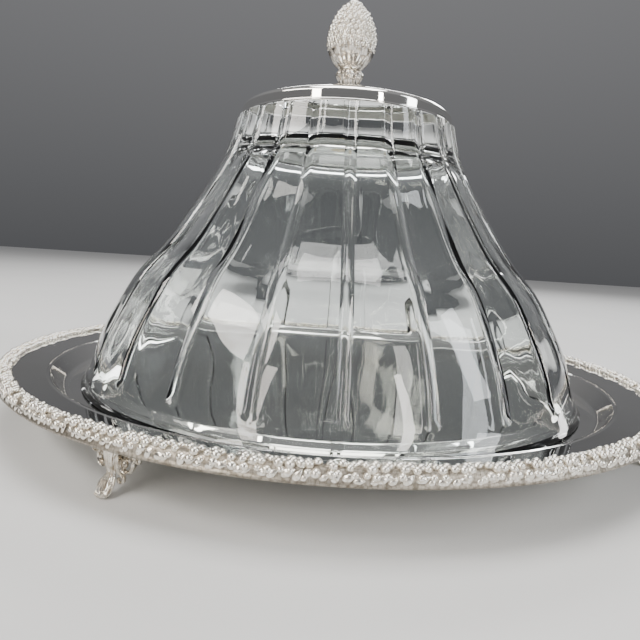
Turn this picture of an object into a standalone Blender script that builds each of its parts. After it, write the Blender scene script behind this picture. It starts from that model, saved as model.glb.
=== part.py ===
"""Cheese dome: a fluted glass bell with a plated cap and knob, resting in a footed round tray.

Metres, +Z up. The origin is on the table, under the middle of the tray. Every turned piece has the
Z axis as its own axis. The front of the object faces -Y.
"""
import math

import bmesh
import bpy
import numpy as np

MM = 0.001
GAP = 0.3 * MM                     # air between pieces that touch

# Tray, as radii and heights above the table
WELL_EDGE_RADIUS = 145.0 * MM      # the crisp edge where the flat rim drops into the well
WELL_EDGE_HEIGHT = 21.5 * MM
WELL_DEPTH = 8.0 * MM
WELL_FLOOR_RADIUS = 139.0 * MM     # foot of the well's sloping wall
PLATEAU_RADIUS = 117.0 * MM        # raised centre that the dome's rim stands around
PLATEAU_RISE = 2.5 * MM
SHEET = 1.4 * MM
RIM_RADIUS = 164.6 * MM            # edge of the sheet, under the border
RIM_RISE = 3.8 * MM                # how far the flat rim climbs from the well edge to its own edge

# Cast border over the rim's edge
BORDER_INNER = 159.8 * MM
BORDER_OUTER = 167.0 * MM
BORDER_TOP = 27.6 * MM
BORDER_FOOT = 20.2 * MM

# Scroll feet
FOOT_BEARINGS = {                  # degrees from the front, towards +X
    "foot_left_front": -27.0,
    "foot_right_front": 63.0,
    "foot_right_back": 153.0,
    "foot_left_back": -117.0,
}
FOOT_TOP = 20.0 * MM
WING_PLANE = 152.0 * MM            # distance of the side scrolls' plate from the tray's middle
WING_THICKNESS = 3.0 * MM

# Glass bell
FLUTES = 24
FLUTE_PHASE = 2.5                  # bearing of the first flute, degrees
FLUTE_HALF_WIDTH = 2.7 * MM
FLUTE_DEPTH = 1.5 * MM
FLUTE_START = 23.3 * MM            # height of the flutes' lower ends
CROWN_HEIGHT = 157.0 * MM          # flat top of the glass, inside the cap
NECK_RADIUS = 53.0 * MM

# Cap, knob and what holds them
BAND_RADIUS = 56.5 * MM
BAND_FOOT = 152.3 * MM
BAND_TOP = 158.2 * MM
CAP_SHEET = 1.2 * MM
CAP_SPHERE = 143.0 * MM            # radius of the cap's domed top
SEAT_RADIUS = 18.5 * MM            # raised flat seat in the middle of the cap
SEAT_HEIGHT = 170.0 * MM
STUD_RADIUS = 2.0 * MM
NUT_FLATS = 7.0 * MM

RING_STEPS = 72
SMALL_STEPS = 24


def clear_scene():
    """Empty the scene that the script starts in."""
    for leftover in list(bpy.data.objects):
        bpy.data.objects.remove(leftover, do_unlink=True)


def material(name, colour, roughness, metallic, transmission=0.0):
    """Return a plain Principled material."""
    finish = bpy.data.materials.new(name)
    finish.use_nodes = True
    shader = finish.node_tree.nodes["Principled BSDF"]
    shader.inputs["Base Color"].default_value = (*colour, 1.0)
    shader.inputs["Roughness"].default_value = roughness
    shader.inputs["Metallic"].default_value = metallic
    shader.inputs["Transmission Weight"].default_value = transmission
    return finish


def link(name, mesh, finish, smooth_angle=35.0):
    """Add a mesh to the scene as a named object, smooth except at its sharp edges."""
    mesh.materials.append(finish)
    mesh.shade_smooth()
    mesh.set_sharp_from_angle(angle=math.radians(smooth_angle))
    thing = bpy.data.objects.new(name, mesh)
    bpy.context.collection.objects.link(thing)
    return thing


def mesh_from_rings(name, rings, closed=False):
    """Skin a list of equal rings of points, and cap both ends unless the list closes on itself."""
    work = bmesh.new()
    loops = [[work.verts.new(point) for point in ring] for ring in rings]
    pairs = list(zip(loops, loops[1:]))
    if closed:
        pairs.append((loops[-1], loops[0]))
    for lower, upper in pairs:
        count = len(lower)
        for i in range(count):
            j = (i + 1) % count
            work.faces.new((lower[i], lower[j], upper[j], upper[i]))
    if not closed:
        work.faces.new(loops[0])
        work.faces.new(loops[-1])
    bmesh.ops.recalc_face_normals(work, faces=work.faces)
    mesh = bpy.data.meshes.new(name)
    work.to_mesh(mesh)
    work.free()
    return mesh


def circle(radius, height, steps):
    """Return one level ring of points round the Z axis."""
    turn = np.arange(steps) * 2.0 * math.pi / steps
    return np.stack([radius * np.cos(turn), radius * np.sin(turn), np.full(steps, height)], axis=1)


def lathe(name, outline, finish, steps=RING_STEPS, closed=False):
    """Turn an outline of (radius, height) pairs round the Z axis into a solid."""
    rings = [circle(radius, height, steps) for radius, height in outline]
    return link(name, mesh_from_rings(name, rings, closed), finish)


def smooth_curve(points, steps):
    """Run a Catmull-Rom curve through the points, with the given number of steps in each span."""
    knots = np.array(points, dtype=float)
    padded = np.vstack([2 * knots[0] - knots[1], knots, 2 * knots[-1] - knots[-2]])
    t = (np.arange(steps) / steps)[:, None]
    spans = []
    for a, b, c, d in zip(padded, padded[1:], padded[2:], padded[3:]):
        spans.append(0.5 * (2 * b + (c - a) * t + (2 * a - 5 * b + 4 * c - d) * t ** 2
                            + (3 * b - a - 3 * c + d) * t ** 3))
    return np.vstack([*spans, knots[-1:]])


def arc(centre, radius, start, end, steps):
    """Return points of an arc in the (radius, height) plane, angles in degrees."""
    turn = np.radians(np.linspace(start, end, steps))
    return [(centre[0] + radius * math.cos(a), centre[1] + radius * math.sin(a)) for a in turn]


def rim_height(radius):
    """Return the height of the flat rim's upper face at a radius."""
    share = (radius - WELL_EDGE_RADIUS) / (RIM_RADIUS - WELL_EDGE_RADIUS)
    return WELL_EDGE_HEIGHT + RIM_RISE * share


def make_tray_dish(finish):
    """Spun dish: raised centre, groove for the dome's rim, sloping wall and flat rim."""
    floor = WELL_EDGE_HEIGHT - WELL_DEPTH
    plateau = floor + PLATEAU_RISE
    top = [
        (PLATEAU_RADIUS - 2.0 * MM, plateau),
        (PLATEAU_RADIUS - 0.5 * MM, plateau - 0.3 * MM),
        (PLATEAU_RADIUS + 1.2 * MM, floor + 0.3 * MM),
        (PLATEAU_RADIUS + 2.7 * MM, floor),
        (WELL_FLOOR_RADIUS - 1.0 * MM, floor),
        (WELL_FLOOR_RADIUS + 0.8 * MM, floor + 0.7 * MM),
        (WELL_EDGE_RADIUS - 0.6 * MM, WELL_EDGE_HEIGHT - 0.7 * MM),
        (WELL_EDGE_RADIUS, WELL_EDGE_HEIGHT),
        (RIM_RADIUS, rim_height(RIM_RADIUS)),
    ]
    under = [
        (RIM_RADIUS, rim_height(RIM_RADIUS) - SHEET),
        (WELL_EDGE_RADIUS + 1.0 * MM, WELL_EDGE_HEIGHT - SHEET),
        (WELL_FLOOR_RADIUS + 1.8 * MM, floor - 0.5 * MM),
        (WELL_FLOOR_RADIUS, floor - SHEET),
        (PLATEAU_RADIUS + 2.0 * MM, floor - SHEET),
        (PLATEAU_RADIUS - 1.5 * MM, plateau - SHEET),
    ]
    return lathe("tray_dish", top + under, finish)


def make_tray_border(finish):
    """Cast border: a raised half-round moulding over the rim, with a skirt down over its edge."""
    skirt = RIM_RADIUS + GAP
    outline = [
        (BORDER_INNER, rim_height(BORDER_INNER) + GAP),
        (BORDER_INNER + 0.2 * MM, BORDER_TOP - 1.8 * MM),
        (BORDER_INNER + 2.2 * MM, BORDER_TOP - 0.5 * MM),
        (BORDER_OUTER - 2.8 * MM, BORDER_TOP),
        (BORDER_OUTER - 0.7 * MM, BORDER_TOP - 1.4 * MM),
        (BORDER_OUTER, BORDER_TOP - 3.8 * MM),
        (BORDER_OUTER - 1.0 * MM, BORDER_FOOT + 0.4 * MM),
        (skirt + 0.5 * MM, BORDER_FOOT),
        (skirt, BORDER_FOOT + 0.3 * MM),
        (skirt, rim_height(RIM_RADIUS) + GAP),
    ]
    return lathe("tray_border", outline, finish, closed=True)


def bell_outline():
    """Return the outside and the inside of the bell as curves of (radius, height)."""
    base = WELL_EDGE_HEIGHT
    outside = smooth_curve([
        (132.2 * MM, base - WELL_DEPTH + GAP),
        (128.0 * MM, base),
        (123.0 * MM, base + 16.0 * MM),
        (115.8 * MM, base + 31.0 * MM),
        (106.0 * MM, base + 48.0 * MM),
        (93.2 * MM, base + 63.0 * MM),
        (81.7 * MM, base + 80.0 * MM),
        (70.8 * MM, base + 97.5 * MM),
        (62.4 * MM, base + 114.5 * MM),
        (58.2 * MM, BAND_FOOT - GAP),
    ], 1)
    inside = smooth_curve([
        (126.5 * MM, base - WELL_DEPTH + GAP),
        (121.8 * MM, base),
        (109.3 * MM, base + 31.0 * MM),
        (98.6 * MM, base + 48.0 * MM),
        (85.4 * MM, base + 63.0 * MM),
        (74.0 * MM, base + 80.0 * MM),
        (65.2 * MM, base + 97.0 * MM),
        (57.0 * MM, base + 109.0 * MM),
        (47.5 * MM, base + 114.5 * MM),
        (41.0 * MM, base + 115.5 * MM),
    ], 1)
    return outside, inside


def fluted_ring(radius, height):
    """Return one ring of the bell: two edges, a sunk middle and a panel point for each flute."""
    share = min(1.0, max(0.0, (height - FLUTE_START) / (6.0 * MM)))
    half_angle = FLUTE_HALF_WIDTH / radius
    pitch = 2.0 * math.pi / FLUTES
    points = []
    for k in range(FLUTES):
        middle = math.radians(FLUTE_PHASE - 90.0) + k * pitch
        for offset, sink in ((-half_angle, 0.0), (0.0, FLUTE_DEPTH * share),
                             (half_angle, 0.0), (pitch / 2.0, 0.0)):
            turn = middle + offset
            reach = radius - sink
            points.append((reach * math.cos(turn), reach * math.sin(turn), height))
    return np.array(points)


def make_glass_dome(finish):
    """Bell of thick glass: fluted outside, smooth inside, with a solid crown and a plain neck."""
    outside, inside = bell_outline()
    rings = [fluted_ring(radius, height) for radius, height in outside]
    around = ring_directions(rings[0])
    inner_rings = [np.column_stack([around * radius, np.full(len(around), height)])
                   for radius, height in inside[::-1]]
    neck = [np.column_stack([ring_directions(rings[-1]) * NECK_RADIUS,
                             np.full(len(rings[-1]), height)])
            for height in (BAND_FOOT - GAP, CROWN_HEIGHT)]
    return link("glass_dome", mesh_from_rings("glass_dome", inner_rings + rings + neck), finish)


def ring_directions(ring):
    """Return the level unit vectors from the axis to each point of a ring."""
    level = ring[:, :2]
    return level / np.linalg.norm(level, axis=1)[:, None]


def cap_top(radius):
    """Return the height of the cap's domed upper face at a radius."""
    shoulder = BAND_RADIUS - 1.0 * MM
    fall = math.sqrt(CAP_SPHERE ** 2 - radius ** 2) - math.sqrt(CAP_SPHERE ** 2 - shoulder ** 2)
    return BAND_TOP + 0.6 * MM + fall


def make_cap_shell(finish):
    """Spun cap: upright band, low dome and a raised flat seat round the stud's hole."""
    hole = STUD_RADIUS + GAP
    dome_radii = np.linspace(BAND_RADIUS - 1.0 * MM, SEAT_RADIUS + 0.6 * MM, 4)
    outer = [(BAND_RADIUS, BAND_FOOT), (BAND_RADIUS, BAND_TOP)]
    outer += [(radius, cap_top(radius)) for radius in dome_radii]
    outer += [(SEAT_RADIUS, SEAT_HEIGHT), (hole, SEAT_HEIGHT)]
    inner = [(hole, SEAT_HEIGHT - CAP_SHEET), (SEAT_RADIUS - 1.2 * MM, SEAT_HEIGHT - CAP_SHEET)]
    inner += [(radius - 0.4 * MM, cap_top(radius) - CAP_SHEET) for radius in dome_radii[::-1]]
    inner[-1] = (BAND_RADIUS - CAP_SHEET, BAND_TOP - 0.6 * MM)
    inner += [(BAND_RADIUS - CAP_SHEET, BAND_FOOT)]
    return lathe("cap_shell", outer + inner, finish, steps=48, closed=True)


def ring_block(name, inner, outer, bottom, top, finish, steps=SMALL_STEPS):
    """Make a plain ring of rectangular section."""
    outline = [(inner, bottom), (outer, bottom), (outer, top), (inner, top)]
    return lathe(name, outline, finish, steps=steps, closed=True)


def make_nut(finish):
    """Hexagon nut under the washer, bored for the stud."""
    top = SEAT_HEIGHT - CAP_SHEET - 1.2 * MM - 2 * GAP
    bottom = top - 3.2 * MM
    bore = STUD_RADIUS + GAP
    corners = NUT_FLATS / math.sqrt(3.0)
    turn = np.radians(np.arange(24) * 15.0)
    sector = (turn + math.radians(30.0)) % math.radians(60.0) - math.radians(30.0)
    reach = corners * math.cos(math.radians(30.0)) / np.cos(sector)
    hexagon = np.stack([reach * np.cos(turn), reach * np.sin(turn)], axis=1)
    rings = []
    for height, shape in ((bottom, None), (bottom, hexagon), (top, hexagon), (top, None)):
        level = bore * np.stack([np.cos(turn), np.sin(turn)], axis=1) if shape is None else shape
        rings.append(np.column_stack([level, np.full(len(turn), height)]))
    return link("stud_nut", mesh_from_rings("stud_nut", rings, closed=True), finish)


def make_knob(finish):
    """Cast knob: flared stem, waist and a pointed bud, with a blind hole for the stud."""
    base = SEAT_HEIGHT + 2.0 * MM + GAP
    bore = STUD_RADIUS + GAP
    profile = smooth_curve([
        (4.8 * MM, base),
        (5.2 * MM, base + 2.4 * MM),
        (6.1 * MM, base + 5.2 * MM),
        (7.2 * MM, base + 8.0 * MM),
        (5.4 * MM, base + 10.8 * MM),
        (10.6 * MM, base + 16.5 * MM),
        (13.6 * MM, base + 24.5 * MM),
        (12.0 * MM, base + 33.0 * MM),
        (6.6 * MM, base + 40.5 * MM),
        (2.0 * MM, base + 46.0 * MM),
    ], 2)
    outline = [(bore, base + 18.0 * MM), (bore, base), *profile]
    return lathe("knob", outline, finish, steps=SMALL_STEPS)


def make_stud(finish):
    """Threaded stud from inside the knob down through the nut."""
    bottom = SEAT_HEIGHT - 8.5 * MM
    top = SEAT_HEIGHT + 19.0 * MM
    return lathe("knob_stud", [(STUD_RADIUS, bottom), (STUD_RADIUS, top)], finish, steps=24)


def make_rosette(finish):
    """Low disc with a rounded edge that the knob stands on."""
    hole = STUD_RADIUS + GAP
    foot = SEAT_HEIGHT + GAP
    outline = [
        (hole, foot),
        (16.6 * MM, foot),
        (17.0 * MM, foot + 0.6 * MM),
        (15.6 * MM, foot + 1.4 * MM),
        (12.0 * MM, foot + 1.7 * MM),
        (hole, foot + 1.7 * MM),
    ]
    return lathe("knob_rosette", outline, finish, steps=48, closed=True)


def leg_ring(reach, height, half_width, half_depth, lean):
    """Return one oval section of a leg, square to its lean, in the foot's own frame.

    The frame has +X pointing out from the tray and +Y along its edge. The lean is the angle of the
    section's plane from level, in degrees, positive where the outer side is lower.
    """
    turn = np.radians(np.arange(12) * 30.0)
    out = half_depth * np.cos(turn)
    tilt = math.radians(lean)
    return np.stack([reach + out * math.cos(tilt), half_width * np.sin(turn),
                     height - out * math.sin(tilt)], axis=1)


def wing_outline():
    """Return the outline of the side scrolls in (along the edge, height) for one half."""
    volute = arc((4.9 * MM, 11.0 * MM), 3.5 * MM, -110.0, 40.0, 8)
    lobe = arc((2.3 * MM, 5.0 * MM), 1.9 * MM, -120.0, 60.0, 6)
    tendril = [(11.0 * MM, 14.6 * MM), (17.5 * MM, 17.4 * MM), (18.5 * MM, FOOT_TOP)]
    return lobe + volute + tendril


def make_foot(name, bearing, finish):
    """Cast foot: a leg with a bulging knee and a kicked toe, joined to a plate of side scrolls."""
    stations = [
        (153.4, 20.0, 2.8, 2.4, 0.0),
        (154.9, 15.6, 2.5, 1.9, 8.0),
        (155.3, 12.0, 2.0, 1.5, 0.0),
        (154.9, 8.8, 1.4, 1.2, -8.0),
        (155.5, 5.6, 1.8, 1.5, -20.0),
        (157.6, 2.2, 2.5, 2.6, -12.0),
        (158.0, 0.0, 2.3, 2.6, 0.0),
    ]
    rings = [leg_ring(*(value * MM for value in station[:4]), station[4]) for station in stations]
    leg = link(name, mesh_from_rings(name, rings), finish, smooth_angle=50.0)

    half = wing_outline()
    whole = half + [(-along, height) for along, height in half[::-1]]
    front = [(WING_PLANE + WING_THICKNESS / 2, along, height) for along, height in whole]
    back = [(WING_PLANE - WING_THICKNESS / 2, along, height) for along, height in whole]
    wings = link(name + "_wings", mesh_from_rings(name + "_wings", [front, back]), finish)
    wings.hide_render = True
    wings.display_type = 'WIRE'

    weld = leg.modifiers.new("join_wings", 'BOOLEAN')
    weld.operation = 'UNION'
    weld.object = wings
    for thing in (leg, wings):
        thing.rotation_euler = (0.0, 0.0, math.radians(bearing - 90.0))
    return leg


def main():
    """Build every piece."""
    clear_scene()
    silver = material("polished_silver", (0.86, 0.84, 0.80), 0.06, 1.0)
    cast_silver = material("cast_silver", (0.84, 0.80, 0.73), 0.28, 1.0)
    glass = material("clear_glass", (0.93, 0.97, 0.96), 0.02, 0.0, transmission=1.0)
    brass = material("brass", (0.72, 0.55, 0.28), 0.35, 1.0)
    cement = material("cement", (0.80, 0.78, 0.72), 0.85, 0.0)
    gasket = material("gasket", (0.85, 0.86, 0.84), 0.55, 0.0)

    make_tray_dish(silver)
    make_tray_border(cast_silver)
    for name, bearing in FOOT_BEARINGS.items():
        make_foot(name, bearing, cast_silver)
    make_glass_dome(glass)
    make_cap_shell(silver)
    make_rosette(cast_silver)
    make_knob(cast_silver)

    make_stud(brass)
    under_seat = SEAT_HEIGHT - CAP_SHEET - GAP
    ring_block("stud_washer", STUD_RADIUS + GAP, 8.0 * MM, under_seat - 1.2 * MM, under_seat, brass)
    make_nut(brass)
    ring_block("cement_ring", NECK_RADIUS + GAP, BAND_RADIUS - CAP_SHEET - GAP,
               BAND_FOOT + GAP, CROWN_HEIGHT - GAP, cement, steps=48)
    ring_block("cap_gasket", 40.0 * MM, 51.5 * MM, CROWN_HEIGHT + GAP, CROWN_HEIGHT + 1.3 * MM,
               gasket, steps=48)


if __name__ == "__main__":
    main()
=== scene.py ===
import logging
import math
from dataclasses import dataclass
from enum import Enum
from typing import ClassVar

import bpy
import numpy as np
from mathutils import Matrix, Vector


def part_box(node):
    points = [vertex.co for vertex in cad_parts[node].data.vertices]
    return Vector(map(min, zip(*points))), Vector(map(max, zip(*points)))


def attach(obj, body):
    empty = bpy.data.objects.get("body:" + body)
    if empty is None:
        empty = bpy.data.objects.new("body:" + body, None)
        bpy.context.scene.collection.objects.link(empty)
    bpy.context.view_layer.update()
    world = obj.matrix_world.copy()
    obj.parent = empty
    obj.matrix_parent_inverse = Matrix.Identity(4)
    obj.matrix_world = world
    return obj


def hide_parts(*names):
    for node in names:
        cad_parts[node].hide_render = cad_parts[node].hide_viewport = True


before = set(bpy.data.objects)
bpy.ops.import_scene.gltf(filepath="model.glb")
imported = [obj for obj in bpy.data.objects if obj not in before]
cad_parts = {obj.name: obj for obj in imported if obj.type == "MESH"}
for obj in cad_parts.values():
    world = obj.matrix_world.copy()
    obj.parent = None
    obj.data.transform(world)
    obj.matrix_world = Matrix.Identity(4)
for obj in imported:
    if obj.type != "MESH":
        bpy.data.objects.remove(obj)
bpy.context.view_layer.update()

LOG = logging.getLogger("cheese_dome")
MM = 0.001
TURN = 2.0 * math.pi
GAP = 0.3 * MM                     # play between neighbouring pieces
UP = np.array([0.0, 0.0, 1.0])
SEED = 4711


class Body(Enum):
    """The two things that a hand takes apart."""

    TRAY = "tray"
    DOME = "dome"


class Slot(Enum):
    """Material slots of the record."""

    POLISHED = "polished_silver"
    CAST = "cast_silver"
    GLASS = "clear_glass"
    BRASS = "brass"
    CEMENT = "cement"
    GASKET = "gasket"


# ---------------------------------------------------------------------------------------------
# Surfaces
# ---------------------------------------------------------------------------------------------

@dataclass
class Surface:
    """Points and faces of one piece, built up from grids.

    A grid is an array of shape (rows, columns, 3). Its faces point outward where rows climb and
    columns turn anticlockwise about the row direction.
    """

    points: list
    quads: list
    triangles: list
    count: int = 0

    @classmethod
    def empty(cls) -> "Surface":
        """Return a surface with nothing in it."""
        return cls([], [], [])

    def add_grid(self, grid: np.ndarray, close_columns: bool = True, close_rows: bool = False,
                 cap_ends: bool = False) -> "Surface":
        """Add a grid of points as quads.

        Args:
            grid: points of shape (rows, columns, 3).
            close_columns: join the last column to the first.
            close_rows: join the last row to the first.
            cap_ends: close the first and last row with a fan to the row's middle point.

        Returns:
            The surface itself.
        """
        rows, columns = grid.shape[:2]
        index = self.count + np.arange(rows * columns).reshape(rows, columns)
        right = np.roll(index, -1, axis=1) if close_columns else index[:, 1:]
        left = index if close_columns else index[:, :-1]
        if close_rows:
            upper_left, upper_right = np.roll(left, -1, axis=0), np.roll(right, -1, axis=0)
            lower_left, lower_right = left, right
        else:
            upper_left, upper_right = left[1:], right[1:]
            lower_left, lower_right = left[:-1], right[:-1]
        corners = [lower_left, lower_right, upper_right, upper_left]
        self.quads.append(np.stack(corners, -1).reshape(-1, 4))
        self.points.append(grid.reshape(-1, 3))
        self.count += rows * columns
        if cap_ends:
            for row, flip in ((index[0], True), (index[-1], False)):
                middle = grid.reshape(-1, 3)[row - index[0, 0]].mean(axis=0)
                self.points.append(middle[None, :])
                following = np.roll(row, -1)
                ends = (following, row) if flip else (row, following)
                hub = np.full(len(row), self.count)
                self.triangles.append(np.stack([ends[0], ends[1], hub], -1))
                self.count += 1
        return self

    def add_copies(self, points: np.ndarray, quads: np.ndarray, triangles: np.ndarray) -> "Surface":
        """Add many placed copies of one small shape.

        Args:
            points: copies of the shape's points, of shape (copies, points, 3).
            quads: the shape's quads, as indices into its points.
            triangles: the shape's triangles, as indices into its points.

        Returns:
            The surface itself.
        """
        copies, each = points.shape[:2]
        start = self.count + np.arange(copies)[:, None, None] * each
        self.quads.append((quads[None] + start).reshape(-1, 4))
        self.triangles.append((triangles[None] + start).reshape(-1, 3))
        self.points.append(points.reshape(-1, 3))
        self.count += copies * each
        return self

    def finish(self, name: str, material: bpy.types.Material, sharp: float = 40.0) -> bpy.types.Object:
        """Make the object, with its place in its mesh.

        Args:
            name: the piece's name.
            material: the finish of the whole piece.
            sharp: edges that turn by more than this many degrees stay crisp.

        Returns:
            The new object, at the origin.
        """
        faces = [face for block in (*self.quads, *self.triangles) for face in block.tolist()]
        mesh = bpy.data.meshes.new(name)
        mesh.from_pydata(np.vstack(self.points).tolist(), [], faces)
        mesh.materials.append(material)
        mesh.shade_smooth()
        mesh.set_sharp_from_angle(angle=math.radians(sharp))
        mesh.validate()
        thing = bpy.data.objects.new(name, mesh)
        bpy.context.scene.collection.objects.link(thing)
        return thing


def bearing_vector(bearing: np.ndarray) -> np.ndarray:
    """Return level unit vectors at bearings in radians from the front (-Y) towards +X."""
    bearing = np.asarray(bearing, dtype=float)
    return np.stack([np.sin(bearing), -np.cos(bearing), np.zeros_like(bearing)], axis=-1)


def turned_grid(radius: np.ndarray, height: np.ndarray, turn: np.ndarray) -> np.ndarray:
    """Return the points (r cos a, r sin a, z) of radii, heights and turns that fit one grid."""
    return np.stack(np.broadcast_arrays(radius * np.cos(turn), radius * np.sin(turn), height), axis=-1)


def revolve(profile: np.ndarray, steps: int) -> np.ndarray:
    """Turn a profile round the Z axis, with each of its points in every column.

    Args:
        profile: (radius, height) pairs that run so the material is on the left hand side.
        steps: number of columns round the axis.

    Returns:
        A grid of shape (profile points, steps, 3).
    """
    turn = np.arange(steps) * TURN / steps
    return turned_grid(profile[:, :1], profile[:, 1:2], turn)


def smooth_through(points: np.ndarray, steps: int) -> np.ndarray:
    """Run a Catmull-Rom curve through points of any dimension.

    Each span blends its four nearest points with cubic weights of the span's parameter t.

    Args:
        points: the knots, one a row.
        steps: points in each span.

    Returns:
        The curve's points, with the last knot at its end.
    """
    knots = np.asarray(points, dtype=float)
    padded = np.vstack([2 * knots[0] - knots[1], knots, 2 * knots[-1] - knots[-2]])
    t = (np.arange(steps) / steps)[None, :, None]
    a, b, c, d = (padded[i:len(padded) - 3 + i][:, None, :] for i in range(4))
    spans = 0.5 * (2 * b + (c - a) * t + (2 * a - 5 * b + 4 * c - d) * t ** 2
                   + (3 * b - a - 3 * c + d) * t ** 3)
    return np.vstack([spans.reshape(-1, knots.shape[1]), knots[-1:]])


def round_corners(outline: list, steps: int) -> np.ndarray:
    """Round the corners of an outline of (radius, height, corner radius) rows.

    Each corner becomes a quadratic curve from the point one corner radius before it to the point
    one corner radius after it, with the corner as its middle control.

    Args:
        outline: rows of radius, height and corner radius, all in metres.
        steps: points in each rounded corner.

    Returns:
        (radius, height) pairs.
    """
    rows = np.asarray(outline, dtype=float)
    spots, reach = rows[:, :2], rows[:, 2]
    kept = []
    t = np.linspace(0.0, 1.0, steps)[:, None]
    for i, spot in enumerate(spots):
        before, after = spots[i - 1] - spot, spots[(i + 1) % len(spots)] - spot
        if reach[i] <= 0.0:
            kept.append(spot[None, :])
            continue
        start = spot + before * min(0.45, reach[i] / np.linalg.norm(before))
        end = spot + after * min(0.45, reach[i] / np.linalg.norm(after))
        kept.append(start * (1 - t) ** 2 + 2 * spot * t * (1 - t) + end * t ** 2)
    return np.vstack(kept)


def sweep(path: np.ndarray, half_width: np.ndarray, half_height: np.ndarray, side: np.ndarray,
          columns: int = 12, ridges: int = 0, ridge_depth: float = 0.0) -> np.ndarray:
    """Carry an oval along a path: point = path + side * w cos a + up * h sin a.

    The up direction is the side crossed with the path's tangent. With ridges, both radii are
    multiplied by 1 + depth * cos(ridges * a).

    Args:
        path: the path's points.
        half_width: half width along the side direction, for each point.
        half_height: half height across it, for each point.
        side: one fixed direction that the sections' width lies along.
        columns: points round the section.
        ridges: number of ridges round the section.
        ridge_depth: depth of the ridges as a share of the radius.

    Returns:
        A grid of shape (path points, columns, 3).
    """
    tangent = np.gradient(path, axis=0)
    tangent /= np.linalg.norm(tangent, axis=1)[:, None]
    up = np.cross(tangent, side)
    up /= np.linalg.norm(up, axis=1)[:, None]
    across = np.cross(up, tangent)
    turn = np.arange(columns) * TURN / columns
    swell = 1.0 + ridge_depth * np.cos(ridges * turn)
    width = (half_width[:, None] * np.cos(turn) * swell)[..., None]
    height = (half_height[:, None] * np.sin(turn) * swell)[..., None]
    return path[:, None, :] + across[:, None, :] * width + up[:, None, :] * height


def small_ball(rows: int, columns: int) -> tuple[np.ndarray, np.ndarray, np.ndarray]:
    """Return a unit ball's points, quads and triangles, with closed poles.

    A point of row i and column j is (sin p cos a, sin p sin a, cos p) for p = pi i / rows and
    a = 2 pi j / columns.
    """
    polar = np.pi * np.arange(rows - 1, 0, -1)[:, None] / rows
    turn = np.arange(columns) * TURN / columns
    belt = np.stack([np.sin(polar) * np.cos(turn), np.sin(polar) * np.sin(turn),
                     np.broadcast_to(np.cos(polar), (rows - 1, columns))], axis=-1).reshape(-1, 3)
    points = np.vstack([belt, [[0.0, 0.0, -1.0], [0.0, 0.0, 1.0]]])
    index = np.arange(len(belt)).reshape(rows - 1, columns)
    following = np.roll(index, -1, axis=1)
    quads = np.stack([index[:-1], following[:-1], following[1:], index[1:]], -1).reshape(-1, 4)
    low, high = len(belt), len(belt) + 1
    bottom = np.stack([following[0], index[0], np.full(columns, low)], -1)
    top = np.stack([index[-1], following[-1], np.full(columns, high)], -1)
    return points, quads, np.vstack([bottom, top])


def place_balls(surface: Surface, centres: np.ndarray, axes: np.ndarray, rows: int,
                columns: int) -> None:
    """Add ellipsoids: each point of the unit ball is multiplied by its copy's three axes.

    Args:
        surface: what to add them to.
        centres: middles, of shape (copies, 3).
        axes: half axes as rows of vectors, of shape (copies, 3, 3).
        rows: rows from pole to pole.
        columns: columns round the poles.
    """
    points, quads, triangles = small_ball(rows, columns)
    surface.add_copies(np.einsum("pk,ckd->cpd", points, axes) + centres[:, None, :], quads, triangles)


def leaf_grid(length: float, width: float, curl: float, lift: float, rows: int = 9,
              columns: int = 10) -> np.ndarray:
    """Return one closed leaf as a grid of flat rings along +X, with +Z up.

    Along the leaf, the half width is width * sin(pi u^0.75). Across it the upper face is a ridge
    with two hollows beside it, and the tip rises by lift and curls back down by curl.

    Args:
        length: length from root to tip.
        width: greatest half width.
        curl: how far the tip bends down.
        lift: how far the middle rises.
        rows: rings along the leaf.
        columns: points round a ring.

    Returns:
        A grid of shape (rows, columns, 3).
    """
    along = np.linspace(0.02, 0.98, rows)[:, None]
    turn = np.arange(columns) * TURN / columns
    half = width * np.sin(np.pi * along ** 0.75)
    side = half * np.cos(turn)
    vein = 0.32 * half * (np.abs(np.cos(turn)) < 0.2)
    thick = 0.30 * half * np.sin(turn) + np.where(np.sin(turn) > 0, vein, 0.0)
    rise = lift * np.sin(np.pi * along * 0.8) - curl * along ** 3
    serrated = 1.0 + 0.10 * np.sin(5.0 * np.pi * along)
    return np.stack([np.broadcast_to(length * along, side.shape), side * serrated, thick + rise],
                    axis=-1)


# ---------------------------------------------------------------------------------------------
# Finishes
# ---------------------------------------------------------------------------------------------

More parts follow.
